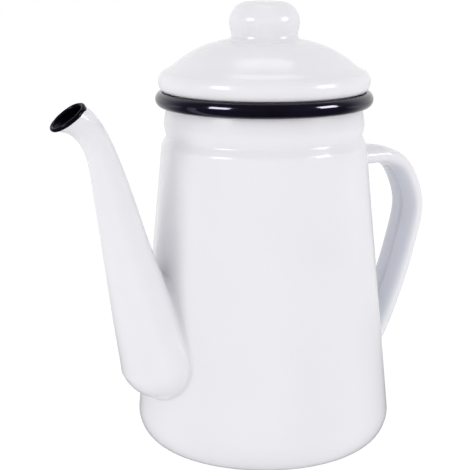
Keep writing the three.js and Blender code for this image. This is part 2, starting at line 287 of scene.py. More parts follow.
bounce = choose(sheet_nodes, eye.outputs["Is Diffuse Ray"], 0.0, FLOOR_BOUNCE_SHARE)
white_share = choose(sheet_nodes, eye.outputs["Is Camera Ray"], bounce, FLOOR_WHITE_SHARE)
sheet_nodes.links.new(tone, matt.inputs["Color"])
sheet_nodes.links.new(white_share, blend.inputs[0])
sheet_nodes.links.new(matt.outputs[0], blend.inputs[1])
sheet_nodes.links.new(plain.outputs[0], blend.inputs[2])
sheet_nodes.links.new(blend.outputs[0], surface.inputs["Surface"])
floor.data.materials.append(paper)
print("floor", FLOOR_SIZE, "m square")

# %% [markdown]
# ## Lines to model from
#
# Sheet metal is drawn as a line first: half of the pot's outline, seen from the side. Two
# small helpers make such lines. `arc` gives a round corner, and `smooth_line` a curve
# through a few chosen points, the way a thin ruler bends through nails.

# %% Helpers for lines


def arc(centre, half_width, half_height, start, end, steps):
    """Points on an ellipse, from one angle to another."""
    line = []
    for i in range(steps + 1):
        turn = start + (end - start) * i / steps
        line.append((
            centre[0] + half_width * math.cos(turn),
            centre[1] + half_height * math.sin(turn),
        ))
    return line


def smooth_line(points, steps):
    """A smooth curve through the given points, in any number of dimensions."""
    spans = len(points) - 1
    line = []
    for i in range(steps + 1):
        place = i * spans / steps
        k = min(int(place), spans - 1)
        t = place - k
        before = points[max(k - 1, 0)]
        here = points[k]
        there = points[k + 1]
        after = points[min(k + 2, spans)]
        spot = []
        for a, b, c, d in zip(before, here, there, after):
            leave = (c - a) / 2
            reach = (d - b) / 2
            spot.append(
                (2 * b - 2 * c + leave + reach) * t ** 3
                + (3 * c - 3 * b - 2 * leave - reach) * t ** 2
                + leave * t + b
            )
        line.append(tuple(spot))
    return line


print("a quarter circle ends at", arc((0, 0), 1, 1, 0, math.pi / 2, 8)[-1])

# %% [markdown]
# ## Turning a line into a vessel
#
# A vessel is modelled as a metal spinner would make it: one point is pulled along the
# outline, and the line is spun round the axis. In Blender that is a plane merged to one
# point, then one extrude for each piece of the line, then Spin. Spin leaves a double row
# of points where it meets itself, so doubles are merged, and only then are the normals
# turned outwards. The wall gets its thickness last, from a Solidify modifier, because on a
# finished double wall the inner skin would be turned round too.

# %% Helpers for spun pieces
ROUND_STEPS = 160
SAME_POINT = 0.02 * MM
BEVEL_STEPS = 3
BEVEL_ANGLE = math.radians(40)
SMOOTH_ANGLE = math.radians(35)


def start_point(name):
    """A new mesh with a single point at the origin, left in edit mode."""
    bpy.ops.object.select_all(action="DESELECT")
    bpy.ops.mesh.primitive_plane_add(size=1, location=(0, 0, 0))
    piece = bpy.context.object
    piece.name = name
    piece.data.name = name
    bpy.ops.object.mode_set(mode="EDIT")
    bpy.ops.mesh.select_mode(type="VERT")
    bpy.ops.mesh.select_all(action="SELECT")
    bpy.ops.mesh.merge(type="CENTER")
    return piece


def pull_line(points):
    """Pulls the selected point along a line of (out, up) pairs, in the X-Z plane."""
    out, up = points[0]
    bpy.ops.transform.translate(value=(out, 0, up))
    for before, after in zip(points, points[1:]):
        step = (after[0] - before[0], 0, after[1] - before[1])
        bpy.ops.mesh.extrude_region_move(TRANSFORM_OT_translate={"value": step})


def spin_line(name, points):
    """A skin of revolution about the Z axis."""
    piece = start_point(name)
    pull_line(points)
    bpy.ops.mesh.select_all(action="SELECT")
    bpy.ops.mesh.spin(steps=ROUND_STEPS, angle=2 * math.pi, center=(0, 0, 0), axis=(0, 0, 1))
    bpy.ops.mesh.select_all(action="SELECT")
    bpy.ops.mesh.remove_doubles(threshold=SAME_POINT)
    bpy.ops.mesh.normals_make_consistent(inside=False)
    bpy.ops.object.mode_set(mode="OBJECT")
    return piece


def pick(piece):
    """Makes one piece the active one and the only one selected."""
    bpy.ops.object.select_all(action="DESELECT")
    bpy.context.view_layer.objects.active = piece
    piece.select_set(True)


def apply_modifier(piece, name, kind, **settings):
    """Adds a modifier, sets it and makes its result the mesh."""
    modifier = piece.modifiers.new(name, kind)
    for key, value in settings.items():
        setattr(modifier, key, value)
    pick(piece)
    bpy.ops.object.modifier_apply(modifier=name)


def thicken(piece, **settings):
    """Gives a skin its sheet metal, inwards from the outside."""
    apply_modifier(
        piece, "wall", "SOLIDIFY",
        thickness=SHEET, offset=-1, use_even_offset=True, use_quality_normals=True,
        **settings,
    )


def round_edges(piece, width):
    """Rounds the sharp edges, and only those."""
    apply_modifier(
        piece, "edges", "BEVEL",
        width=width, segments=BEVEL_STEPS, limit_method="ANGLE", angle_limit=BEVEL_ANGLE,
        use_clamp_overlap=True,
    )


print("spun pieces have", ROUND_STEPS, "facets round")

# %% [markdown]
# ## Finishes
#
# Fired enamel is a thin coat of glass. The white one is milky through and through, so a
# Principled shader with a pale base and a smooth surface is the right start. A flat value
# looks like plastic, though. A real pot has faint clouds in the white where the coat is
# thicker or thinner, a soft waviness that bends every reflection, and here and there a pin
# speck of iron. All three come from noise read in object coordinates, so they stay on the
# pot when it moves, and each has its real size in metres.

# %% Helpers for finishes
WHITE_LIGHT = (0.832, 0.824, 0.858, 1)
WHITE_DEEP = (0.818, 0.810, 0.846, 1)
BLACK_LIGHT = (0.0085, 0.0065, 0.0165, 1)
BLACK_DEEP = (0.0035, 0.0025, 0.006, 1)
# painted shade: the grey-blue laid on the handle's side that faces the body
WHITE_PAINTED_SHADE = (0.72, 0.745, 0.81, 1)
BLUE_GLOSS = (0.82, 0.78, 1.0, 1)
SPECK = (0.16, 0.15, 0.16, 1)
WHITE_GLOSS = (0.13, 0.17)
DARK_GLOSS = (0.08, 0.12)
WHITE_SHINE = 0.16
RIM_SHINE = 0.5
LIP_SHINE = 0.06
GLASS_IOR = 1.52
CLOUD_SIZE = 38 * MM
CLOUD_DETAIL = 3.0
NOISE_LOW = 0.35
NOISE_HIGH = 0.65
WAVE_SIZE = 26 * MM
PEEL_SIZE = 2.4 * MM
RIPPLE_DETAIL = 1.0
WHITE_RIPPLES = (0.1 * MM, 0.002 * MM)
DARK_RIPPLES = (0.12 * MM, 0.003 * MM)
SPECK_SPACING = 17 * MM
SPECK_RADIUS = 0.2 * MM
SPECK_FREE_SHARE = 0.8
# where the painted shade on the handle starts and where it is full
PAINTED_SHADE_FROM = 0.2
PAINTED_SHADE_FULL = 0.9


def put(tree, kind, **values):
    """Adds a node; names with a double underscore are its settings, the rest its inputs."""
    node = tree.nodes.new(kind)
    for name, value in values.items():
        if name.startswith("set__"):
            setattr(node, name[len("set__"):], value)
        else:
            node.inputs[name.replace("_", " ")].default_value = value
    return node


def clouds(tree, place, size, detail=CLOUD_DETAIL):
    """Soft noise whose blotches are about as wide as size."""
    noise = put(tree, "ShaderNodeTexNoise", Scale=1 / size, Detail=detail, Roughness=0.5)
    tree.links.new(place, noise.inputs["Vector"])
    return noise.outputs["Fac"]


def spread(tree, value, low, high, from_low=NOISE_LOW, from_high=NOISE_HIGH):
    """Stretches noise over a range of values."""
    span = put(
        tree, "ShaderNodeMapRange",
        From_Min=from_low, From_Max=from_high, To_Min=low, To_Max=high,
    )
    tree.links.new(value, span.inputs["Value"])
    return span.outputs["Result"]


def mixed(tree, share, first, second):
    """Two colours, or a colour and a link, mixed by a share."""
    mix = put(tree, "ShaderNodeMix", set__data_type="RGBA")
    tree.links.new(share, mix.inputs["Factor"])
    for socket, colour in ((mix.inputs[6], first), (mix.inputs[7], second)):
        if isinstance(colour, tuple):
            socket.default_value = colour
        else:
            tree.links.new(colour, socket)
    return mix.outputs[2]


def pin_specks(tree, place):
    """One where a pin speck of iron shows through, else zero; few cells have one."""
    cells = put(tree, "ShaderNodeTexVoronoi", Scale=1 / SPECK_SPACING)
    tree.links.new(place, cells.inputs["Vector"])
    dot = put(tree, "ShaderNodeMath", set__operation="LESS_THAN")
    dot.inputs[1].default_value = SPECK_RADIUS / SPECK_SPACING
    tree.links.new(cells.outputs["Distance"], dot.inputs[0])
    tint = put(tree, "ShaderNodeSeparateColor")
    tree.links.new(cells.outputs["Color"], tint.inputs["Color"])
    rare = put(tree, "ShaderNodeMath", set__operation="GREATER_THAN")
    rare.inputs[1].default_value = SPECK_FREE_SHARE
    tree.links.new(tint.outputs["Red"], rare.inputs[0])
    both = put(tree, "ShaderNodeMath", set__operation="MULTIPLY")
    tree.links.new(dot.outputs[0], both.inputs[0])
    tree.links.new(rare.outputs[0], both.inputs[1])
    return both.outputs[0]


def ripples(tree, place, wave_height, peel_height):
    """The melt's slow waves and its fine orange peel, as a normal."""
    wave = put(tree, "ShaderNodeBump", Strength=1.0, Distance=wave_height)
    tree.links.new(clouds(tree, place, WAVE_SIZE, RIPPLE_DETAIL), wave.inputs["Height"])
    peel = put(tree, "ShaderNodeBump", Strength=1.0, Distance=peel_height)
    tree.links.new(clouds(tree, place, PEEL_SIZE, RIPPLE_DETAIL), peel.inputs["Height"])
    tree.links.new(wave.outputs["Normal"], peel.inputs["Normal"])
    return peel.outputs["Normal"]


def patches(tree, place):
    """Zero where the coat is thick and deep in tone, one where it is pale."""
    return spread(tree, clouds(tree, place, CLOUD_SIZE), 0, 1)


def new_finish(name):
    """A new material: the material, its nodes, its glass, and the place on the piece."""
    material = bpy.data.materials.new(name)
    material.use_nodes = True
    tree = material.node_tree
    glass = tree.nodes["Principled BSDF"]
    glass.inputs["IOR"].default_value = GLASS_IOR
    place = put(tree, "ShaderNodeTexCoord").outputs["Object"]
    return material, tree, glass, place


def glaze(tree, glass, place, colour, gloss, shine, ripple_heights):
    """Gives the glass its colour, its clouded gloss, its shine and its ripples."""
    roughness = spread(tree, clouds(tree, place, CLOUD_SIZE / 2), *gloss)
    tree.links.new(colour, glass.inputs["Base Color"])
    tree.links.new(roughness, glass.inputs["Roughness"])
    tree.links.new(ripples(tree, place, *ripple_heights), glass.inputs["Normal"])
    glass.inputs["Specular IOR Level"].default_value = shine


print("white enamel", WHITE_LIGHT[:3], "- dark enamel", BLACK_LIGHT[:3])

# %% White and dark enamel


def white_enamel(name, painted_shade_towards=None):
    """White enamel with painted shade: greyer on the side that faces the given direction."""
    material, tree, glass, place = new_finish(name)
    milk = mixed(tree, patches(tree, place), WHITE_DEEP, WHITE_LIGHT)
    if painted_shade_towards:
        facing = put(tree, "ShaderNodeVectorMath", set__operation="DOT_PRODUCT")
        facing.inputs[1].default_value = painted_shade_towards
        tree.links.new(put(tree, "ShaderNodeTexCoord").outputs["Normal"], facing.inputs[0])
        # painted shade, full where the surface faces along the given direction
        painted_shade = spread(tree, facing.outputs["Value"], 0, 1, PAINTED_SHADE_FROM, PAINTED_SHADE_FULL)
        milk = mixed(tree, painted_shade, milk, WHITE_PAINTED_SHADE)
    speckled = mixed(tree, pin_specks(tree, place), milk, SPECK)
    glaze(tree, glass, place, speckled, WHITE_GLOSS, WHITE_SHINE, WHITE_RIPPLES)
    return material


def dark_enamel(name, shine):
    """Blue-black enamel, whose reflections are a little blue."""
    material, tree, glass, place = new_finish(name)
    ink = mixed(tree, patches(tree, place), BLACK_DEEP, BLACK_LIGHT)
    glaze(tree, glass, place, ink, DARK_GLOSS, shine, DARK_RIPPLES)
    glass.inputs["Specular Tint"].default_value = BLUE_GLOSS
    return material


body_white = white_enamel("white_enamel_on_body")
lid_white = white_enamel("white_enamel_on_lid")
# the handle's inner side, towards the body, gets painted shade
handle_white = white_enamel("white_enamel_on_handle", painted_shade_towards=(-1, 0, 0))
rim_dark = dark_enamel("dark_enamel_on_rim", RIM_SHINE)
lip_dark = dark_enamel("dark_enamel_on_lip", LIP_SHINE)
print("finishes:", [material.name for material in bpy.data.materials])

# %% [markdown]
# ## The last steps of every piece
#
# A pot that was just fired is smooth all over, but a mesh is made of flat faces. Smooth
# shading hides them, and an angle limit keeps the few true edges sharp. The same helper
# gives a piece its finish and says which body it rides on, the pot or the lid, so that the
# lid's pieces rise together when the lid is lifted.

# %% Helper that finishes a piece


def finish(piece, body, slot, *materials):
    """Gives a piece its finish, its smooth shading and the body that it rides on."""
    for material in materials:
        piece.data.materials.append(material)
    pick(piece)
    bpy.ops.object.shade_smooth_by_angle(angle=SMOOTH_ANGLE)
    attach(piece, body)
    print(piece.name, "has", len(piece.data.polygons), "faces")


print("edges flatter than", round(math.degrees(SMOOTH_ANGLE)), "degrees are shaded smooth")

# %% [markdown]
# ## The body
#
# The body is one long cone with a small shoulder, a groove and a short neck above it. The
# bottom is a separate pressed pan, because the base is wider than the mouth and no press
# could draw that in one go. Once both are welded and fired, the coat hides the seam, so
# the smooth body is spun as one piece and stands for both parts of the measured model.
# The line goes from the middle of the bottom, round the corner and up to the neck.

# %% Spin the body
CORNER_STEPS = 16
CONE_STEPS = 22
NECK_STEPS = 24
SHOULDER_STEPS = 33
SHOULDER_SHARES = [
    (0, 0), (0.065, 0.2), (0.114, 0.333), (0.163, 0.427), (0.22, 0.493), (0.31, 0.56), (0.461, 0.653),
    (0.641, 0.76), (0.824, 0.867), (0.927, 0.933), (0.98, 0.987), (0.996, 1.04),
]
NECK_BULGE_SHARE = 0.38
NECK_TURN_IN_SHARE = 0.2
NECK_TURN_UP_SHARE = 0.69

corner_centre = (BASE_RADIUS - BASE_CORNER, BASE_CORNER)
cone_angle = math.atan2(BASE_RADIUS - CONE_TOP_RADIUS, CONE_TOP_HEIGHT - BASE_CORNER)
corner = arc(corner_centre, BASE_CORNER, BASE_CORNER, -math.pi / 2, cone_angle, CORNER_STEPS)
cone_foot = corner[-1]


def wall_radius(height):
    """How far the cone's outer skin is from the axis at a height."""
    share = (height - cone_foot[1]) / (CONE_TOP_HEIGHT - cone_foot[1])
    return cone_foot[0] + share * (CONE_TOP_RADIUS - cone_foot[0])


cone = []
for i in range(1, CONE_STEPS):
    height = cone_foot[1] + (CONE_TOP_HEIGHT - cone_foot[1]) * i / CONE_STEPS
    cone.append((wall_radius(height), height))
shoulder = smooth_line([
    (CONE_TOP_RADIUS - into * (SHOULDER_STEP + GROOVE_DEPTH), CONE_TOP_HEIGHT + up * GROOVE_RISE)
    for into, up in SHOULDER_SHARES
], SHOULDER_STEPS)
neck = smooth_line([
    shoulder[-1],
    (NECK_RADIUS, GROOVE_HEIGHT + NECK_BULGE_SHARE * NECK_RISE),
    (NECK_RADIUS - NECK_TURN_IN_SHARE * NECK_BULGE, GROOVE_HEIGHT + NECK_TURN_UP_SHARE * NECK_RISE),
    (MOUTH_RADIUS + SHEET, NECK_TOP_HEIGHT),
], NECK_STEPS)
outline = [(0, 0)] + corner + cone + shoulder + neck[1:]

pot_body = spin_line("pot_body", outline)
thicken(pot_body)
print("outline of", len(outline), "points, cone angle", round(math.degrees(cone_angle), 1), "degrees")

# %% [markdown]
# ## Strainer holes
#
# Behind the spout the wall isn't cut away. It has a cluster of small round holes that hold
# back leaves or grounds: one in the middle and two rings round it. One drill is modelled,
# copied to each place, and all the copies are taken out of the wall in one Boolean.

# %% Drill the strainer
HOLE_RADIUS = 2.2 * MM
HOLE_PITCH = 7.2 * MM
HOLE_RINGS = 2
HOLES_IN_FIRST_RING = 6
HOLE_SIDES = 20
SPOUT_TOE_HEIGHT = 26.2 * MM
SPOUT_ROOT_DEPTH = 39.6 * MM
SPOUT_ROOT_HEIGHT = SPOUT_TOE_HEIGHT + SPOUT_ROOT_DEPTH / 2
STRAINER_RISE = 2 * MM
STRAINER_HEIGHT = SPOUT_ROOT_HEIGHT + STRAINER_RISE

holes = [(0, 0)]
for ring in range(1, HOLE_RINGS + 1):
    count = HOLES_IN_FIRST_RING * ring
    for i in range(count):
        turn = 2 * math.pi * i / count
        holes.append((ring * HOLE_PITCH * math.sin(turn), ring * HOLE_PITCH * math.cos(turn)))

bpy.ops.object.select_all(action="DESELECT")
drills = []
for across, up in holes:
    height = STRAINER_HEIGHT + up
    bpy.ops.mesh.primitive_cylinder_add(
        vertices=HOLE_SIDES, radius=HOLE_RADIUS, depth=wall_radius(height),
        location=(-wall_radius(height), across, height), rotation=(0, math.pi / 2, 0),
    )
    drills.append(bpy.context.object)
for drill in drills:
    drill.select_set(True)
bpy.ops.object.join()
drill = bpy.context.object
apply_modifier(pot_body, "strainer", "BOOLEAN", operation="DIFFERENCE", object=drill, solver="EXACT")
bpy.data.objects.remove(drill)
finish(pot_body, "pot", "white_enamel_body", body_white)
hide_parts("body_shell", "base_pan")
print(len(holes), "strainer holes")

# %% [markdown]
# ## The rim
#
# A raw edge of sheet steel would cut and rust, so it is rolled outwards into a curl, and
# the curl is dipped in blue-black enamel. It is the darkest thing on the pot, and its
# bright spots tell how round it is, so it is spun from a true ellipse, a little taller
# than wide, and left open underneath as a real curl is.

# %% Spin the rim
RIM_HALF_WIDTH = 3.05 * MM
RIM_HALF_HEIGHT = 3.5 * MM
RIM_CURL_ANGLE = math.radians(110)
RIM_STEPS = 30
EDGE_ROUND = 0.3 * MM

rim_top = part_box("rim_curl")[1].z
rim_centre = (MOUTH_RADIUS + RIM_HALF_WIDTH, rim_top - RIM_HALF_HEIGHT)
curl = arc(rim_centre, RIM_HALF_WIDTH, RIM_HALF_HEIGHT, math.pi, -RIM_CURL_ANGLE, RIM_STEPS)


def face_outwards(piece, spot):
    """Turns a skin round if the face nearest to an outside spot looks away from it."""
    spot = Vector(spot)
    nearest = min(piece.data.polygons, key=lambda face: (face.center - spot).length)
    if (spot - nearest.center).dot(nearest.normal) < 0:
        pick(piece)
        bpy.ops.object.mode_set(mode="EDIT")
        bpy.ops.mesh.select_all(action="SELECT")
        bpy.ops.mesh.flip_normals()
        bpy.ops.object.mode_set(mode="OBJECT")


rim = spin_line("rolled_rim", [(MOUTH_RADIUS, NECK_TOP_HEIGHT - EDGE_ROUND)] + curl)
face_outwards(rim, (rim_centre[0], 0, rim_top + SHEET))
thicken(rim)
round_edges(rim, EDGE_ROUND)
finish(rim, "pot", "dark_enamel", rim_dark)
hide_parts("rim_curl")

# %% [markdown]
# ## The spout
#
# A swan spout is a tube that changes all the way: tall and deep at its root, slim at its
# neck, wide again at its mouth. It could be a curve with a bevel, but then its cross
# section couldn't change from deep to round. So one ring of points is drawn out along the
# route, step by step, and each new ring is turned to face along the route and stretched to
# its own depth and breadth. That is how a pressed tube is drawn over a mandrel.
#
# The route is a table of shares: how far out and how high each station lies, and how deep
# and broad the tube is there, all as shares of the spout's own sizes.

# %% The spout's route
SPOUT_STANDOFF = 64 * MM
SPOUT_RISE = 119.2 * MM
SPOUT_ROOT_BREADTH = 48 * MM
SPOUT_MOUTH_SHARE = 0.79
SPOUT_MOUTH_ANGLE = math.radians(53.5)
SPOUT_LIP_RADIUS = 1.0 * MM
TOE_SHARE = 1.05
SPOUT_SIDES = 64
ROUTE_STEPS = 56
TOE_STEPS = 20
ROUTE_SHARES = [
    (-0.042, 0.014, 0.985, 1),
    (0.105, 0.168, 0.753, 0.775),
    (0.281, 0.411, 0.566, 0.54),
    (0.441, 0.663, 0.43, 0.375),
    (0.575, 0.847, 0.33, 0.262),
    (0.733, 0.952, 0.356, 0.3),
    (0.912, 0.986, 0.366, 0.322),
    (1, 1, 0.368, 0.325),
]


def spout_place(place, up):
    """A point of the spout's route, from its out and up values."""
    height = SPOUT_ROOT_HEIGHT + up * SPOUT_RISE
    return (-wall_radius(height) - place * SPOUT_STANDOFF, height)


route_points = [spout_place(out, up) for out, up, deep, broad in ROUTE_SHARES]
girth_points = [
    (deep * SPOUT_ROOT_DEPTH / 2, broad * SPOUT_ROOT_BREADTH / 2)
    for out, up, deep, broad in ROUTE_SHARES
]


def lean_between(before, after):
    """How far a line from one point to the next leans from upright, towards -X."""
    return math.atan2(before[0] - after[0], after[1] - before[1])


def leans_of(points):
    """The lean of a line at each of its points."""
    last = len(points) - 1
    return [
        lean_between(points[max(i - 1, 0)], points[min(i + 1, last)])
        for i in range(last + 1)
    ]


route = smooth_line(route_points, ROUTE_STEPS)
girths = smooth_line(girth_points, ROUTE_STEPS)
leans = leans_of(route)

stations = []
for i in range(TOE_STEPS, 0, -1):
    turn = math.pi / 2 * i / (TOE_STEPS + 1)
    back = girths[0][0] * math.sin(turn)
    width = math.cos(turn) ** TOE_SHARE
    centre = (route[0][0] + back * math.sin(leans[0]), route[0][1] - back * math.cos(leans[0]))
    stations.append((centre, leans[0], girths[0][0] * width, girths[0][1] * width))
stations += [
    (centre, lean, deep, broad)
    for centre, lean, (deep, broad) in zip(route, leans, girths)
]
print(len(stations), "stations, the last", [round(v / MM, 1) for v in route[-1]])

# %% Draw the tube along its route


def shape_ring(centre, lean, deep, broad):
    """Stretches the selected flat ring, then turns it about its centre."""
    middle = (centre[0], 0, centre[1])
    bpy.ops.transform.resize(value=(deep, broad, 1), center_override=middle)
    bpy.ops.transform.rotate(value=lean, orient_axis="Y", center_override=middle)


def draw_along(stations):
    """Draws the selected ring on from the first station through all the others."""
    for before, after in zip(stations, stations[1:]):
        centre, lean, deep, broad = before
        next_centre, next_lean, next_deep, next_broad = after
        middle = (centre[0], 0, centre[1])
        step = (next_centre[0] - centre[0], 0, next_centre[1] - centre[1])
        bpy.ops.mesh.extrude_region_move(TRANSFORM_OT_translate={"value": (0, 0, 0)})
        bpy.ops.transform.rotate(value=-lean, orient_axis="Y", center_override=middle)
        bpy.ops.transform.translate(value=step)
        shape_ring(next_centre, next_lean, next_deep / deep, next_broad / broad)


bpy.ops.object.select_all(action="DESELECT")
bpy.ops.mesh.primitive_circle_add(
    vertices=SPOUT_SIDES, radius=1, fill_type="NGON",
    location=(stations[0][0][0], 0, stations[0][0][1]),
)
spout = bpy.context.object
spout.name = "swan_spout"
spout.data.name = "swan_spout"
bpy.ops.object.mode_set(mode="EDIT")
bpy.ops.mesh.select_all(action="SELECT")
shape_ring(*stations[0])
draw_along(stations)
bpy.ops.mesh.select_all(action="SELECT")
bpy.ops.mesh.normals_make_consistent(inside=False)
bpy.ops.object.mode_set(mode="OBJECT")
bpy.ops.object.transform_apply(location=True, rotation=False, scale=False)
print("tube of", len(spout.data.vertices), "points")

# %% [markdown]
# ## Joining the spout to the body
#
# On the real pot the spout is welded on and the enamel runs into the corner, which leaves
# a small hollow fillet all round. A Bevel modifier can't make it, because the spout and
# the body are two pieces. So the tube is first cut by the body's own shape, a fillet's
# radius too large. The open edge that is left is drawn on in a few short steps: each step
# goes in towards the pot's axis and spreads a little, so that together they turn through a
# quarter circle and end flat on the wall.
#
# The mouth is a plane cut, which Bisect makes. The edge there stays sharp for the moment,
# because a dark bead will sit on it.

# %% Helpers for welds
WELD_STEPS = 5
WELD_SINK = 0.25 * MM
NEAR = 0.05 * MM
FACING_THE_AXIS = 0.985


def body_form(extra):
    """A closed solid of the body's outside, larger by extra."""
    corner_size = BASE_CORNER + extra
    foot = arc(corner_centre, corner_size, corner_size, -math.pi / 2, cone_angle, CORNER_STEPS)
    top = (wall_radius(CONE_TOP_HEIGHT) + extra / math.cos(cone_angle), CONE_TOP_HEIGHT)
    return spin_line("body_form", [(0, -extra)] + foot + [top, (0, CONE_TOP_HEIGHT)])


def edit(piece, mode="VERT"):
    """Edit mode on one piece, with nothing selected."""
    pick(piece)
    bpy.ops.object.mode_set(mode="EDIT")
    bpy.ops.mesh.select_mode(type=mode)
    bpy.ops.mesh.select_all(action="DESELECT")
    return bmesh.from_edit_mesh(piece.data)


def off_wall(point):
    """How far a point stands outside the cone of the wall, measured sideways."""
    return math.hypot(point.x, point.y) - wall_radius(point.z)


def is_cut_face(face, extra):
    """Is this face part of the skin that the enlarged body left behind?"""
    middle = face.calc_center_median()
    flat_out = Vector((middle.x, middle.y, 0)).normalized()
    return face.normal.dot(flat_out) < -FACING_THE_AXIS and all(
        abs(off_wall(corner.co) - extra / math.cos(cone_angle)) < NEAR for corner in face.verts
    )


def open_foot(piece, extra):
    """Takes the cut face away and leaves its edge selected."""
    net = edit(piece, "FACE")
    for face in net.faces:
        face.select = is_cut_face(face, extra)
    bpy.ops.mesh.delete(type="FACE")
    bpy.ops.mesh.select_mode(type="EDGE")
    bpy.ops.mesh.select_all(action="DESELECT")
    net = bmesh.from_edit_mesh(piece.data)
    for line in net.edges:
        foot = all(off_wall(corner.co) < extra + 2 * NEAR for corner in line.verts)
        if line.is_boundary and foot:
            line.select = True
    net.select_flush_mode()
    bmesh.update_edit_mesh(piece.data)
    return sum(line.select for line in net.edges)


def weld_foot(radius):
    """Draws the selected edge on to the wall in a hollow quarter circle."""
    reach = wall_radius(SPOUT_ROOT_HEIGHT)
    at = radius
    for i in range(1, WELD_STEPS + 1):
        turn = math.pi / 2 * i / WELD_STEPS
        before = math.pi / 2 * (i - 1) / WELD_STEPS
        inwards = radius * (math.sin(turn) - math.sin(before))
        spread_by = radius * (math.cos(before) - math.cos(turn))
        narrow = (reach + at - inwards) / (reach + at)
        at -= inwards
        bpy.ops.mesh.extrude_region_move(TRANSFORM_OT_translate={"value": (0, 0, 0)})
        bpy.ops.transform.resize(value=(narrow, narrow, 1), center_override=(0, 0, 0))
        bpy.ops.transform.shrink_fatten(value=spread_by)
    sink = (reach - WELD_SINK) / reach
    bpy.ops.mesh.extrude_region_move(TRANSFORM_OT_translate={"value": (0, 0, 0)})
    bpy.ops.transform.resize(value=(sink, sink, 1), center_override=(0, 0, 0))
    bpy.ops.object.mode_set(mode="OBJECT")


def weld_on(piece, radius):
    """Cuts a tube by the body's shape and draws its foot on to the wall."""
    form = body_form(radius)
    apply_modifier(piece, "cut", "BOOLEAN", operation="DIFFERENCE", object=form, solver="EXACT")
    bpy.data.objects.remove(form)
    print(piece.name, "has a foot of", open_foot(piece, radius), "edges")
    bpy.ops.mesh.remove_doubles(threshold=SAME_POINT)
    weld_foot(radius)


print("a weld turns through a quarter circle in", WELD_STEPS, "steps")

# %% Weld the spout on and cut its mouth
SPOUT_WELD = 1.6 * MM
LOOKUP_STEPS = 100
MOUTH_POINT_GAP = 0.2 * MM

weld_on(spout, SPOUT_WELD)
mouth_normal = Vector((-math.cos(SPOUT_MOUTH_ANGLE), 0, math.sin(SPOUT_MOUTH_ANGLE)))
mouth_row = smooth_line(route_points, LOOKUP_STEPS)[round(SPOUT_MOUTH_SHARE * LOOKUP_STEPS)]
mouth_point = Vector((mouth_row[0], 0, mouth_row[1])) - SPOUT_LIP_RADIUS * mouth_normal


def select_mouth():
    """Selects the spout's open edge that lies in the plane of the mouth."""
    net = bmesh.from_edit_mesh(spout.data)
    for line in net.edges:
        line.select = line.is_boundary and all(
            abs((corner.co - mouth_point).dot(mouth_normal)) < NEAR for corner in line.verts
        )
    net.select_flush_mode()
    bmesh.update_edit_mesh(spout.data)
    return net


edit(spout)
bpy.ops.mesh.select_all(action="SELECT")
bpy.ops.mesh.bisect(plane_co=mouth_point, plane_no=mouth_normal, clear_outer=True)
net = select_mouth()
bpy.ops.mesh.remove_doubles(threshold=MOUTH_POINT_GAP)
print("mouth of", sum(line.select for line in net.edges if line.is_valid), "edges")
bpy.ops.object.mode_set(mode="OBJECT")

# %% [markdown]
# ## The spout's dark mouth
#
# The spout's end is dipped in the same blue-black enamel as the rim. Outside, the dip
# shows as a narrow line under the bead. Inside, the dark runs far down the bore: partly
# the dip and partly painted shade in the deep tube. The finish is the white one with the
# dark one laid over it, above a line that is a plane parallel to the mouth. A little noise
# is added to the plane's height, because a dipped edge is never quite straight.

# %% Dipped finish
# Each dip is a depth, how far its edge wavers, and how wide the waves are
OUTSIDE_DIP = (0.8 * MM, 0.5 * MM, 4 * MM)
# inside, the dark is partly the dip and partly painted shade down the bore
INSIDE_DIP_AND_SHADE = (24 * MM, 2 * MM, 8 * MM)


def height_above(tree, place, point, normal):
    """How far a spot lies above a plane, in metres."""
    along = put(tree, "ShaderNodeVectorMath", set__operation="DOT_PRODUCT")
    along.inputs[1].default_value = normal
    tree.links.new(place, along.inputs[0])
    above = put(tree, "ShaderNodeMath", set__operation="SUBTRACT")
    above.inputs[1].default_value = point.dot(normal)
    tree.links.new(along.outputs["Value"], above.inputs[0])
    return above.outputs[0]


def dipped_enamel(name, depth, waver, waver_size):
    """White enamel that is dark above a wavering line, depth below the mouth."""
    material, tree, glass, place = new_finish(name)
    above = height_above(tree, place, mouth_point, mouth_normal)
    noise = clouds(tree, place, waver_size, RIPPLE_DETAIL)
    wobble = spread(tree, noise, -waver - depth, waver - depth)
    dark = put(tree, "ShaderNodeMath", set__operation="GREATER_THAN")
    tree.links.new(above, dark.inputs[0])
    tree.links.new(wobble, dark.inputs[1])
    tone = patches(tree, place)
    milk = mixed(tree, tone, WHITE_DEEP, WHITE_LIGHT)
    speckled = mixed(tree, pin_specks(tree, place), milk, SPECK)
    ink = mixed(tree, tone, BLACK_DEEP, BLACK_LIGHT)
    colour = mixed(tree, dark.outputs[0], speckled, ink)
    glaze(tree, glass, place, colour, WHITE_GLOSS, WHITE_SHINE, WHITE_RIPPLES)
    return material


spout_outside = dipped_enamel("dipped_enamel_outside", *OUTSIDE_DIP)
# the inner skin's dark is partly the dip and partly painted shade in the bore
spout_inside_dip_and_shade = dipped_enamel("dipped_enamel_and_painted_shade_inside", *INSIDE_DIP_AND_SHADE)
print("mouth at", [round(value / MM, 1) for value in mouth_point])

# %% [markdown]
# ## The bead round the mouth
#
# Where the dip ends at the cut edge, the enamel gathers into a bead. A tube round the edge
# is the right shape, so the edge itself is copied, turned into a curve and given a round
# section. Then a slow random swelling makes it uneven, as a drop of melt is.

# %% Make the bead
BEAD_RESOLUTION = 4
BEAD_SWELL = 0.35 * MM
BEAD_SWELL_SIZE = 5 * MM

edit(spout, "EDGE")
select_mouth()
bpy.ops.mesh.duplicate()
bpy.ops.mesh.separate(type="SELECTED")
bpy.ops.object.mode_set(mode="OBJECT")
bead = next(piece for piece in bpy.context.selected_objects if piece != spout)
bead.name = "mouth_bead"
bead.data.name = "mouth_bead"

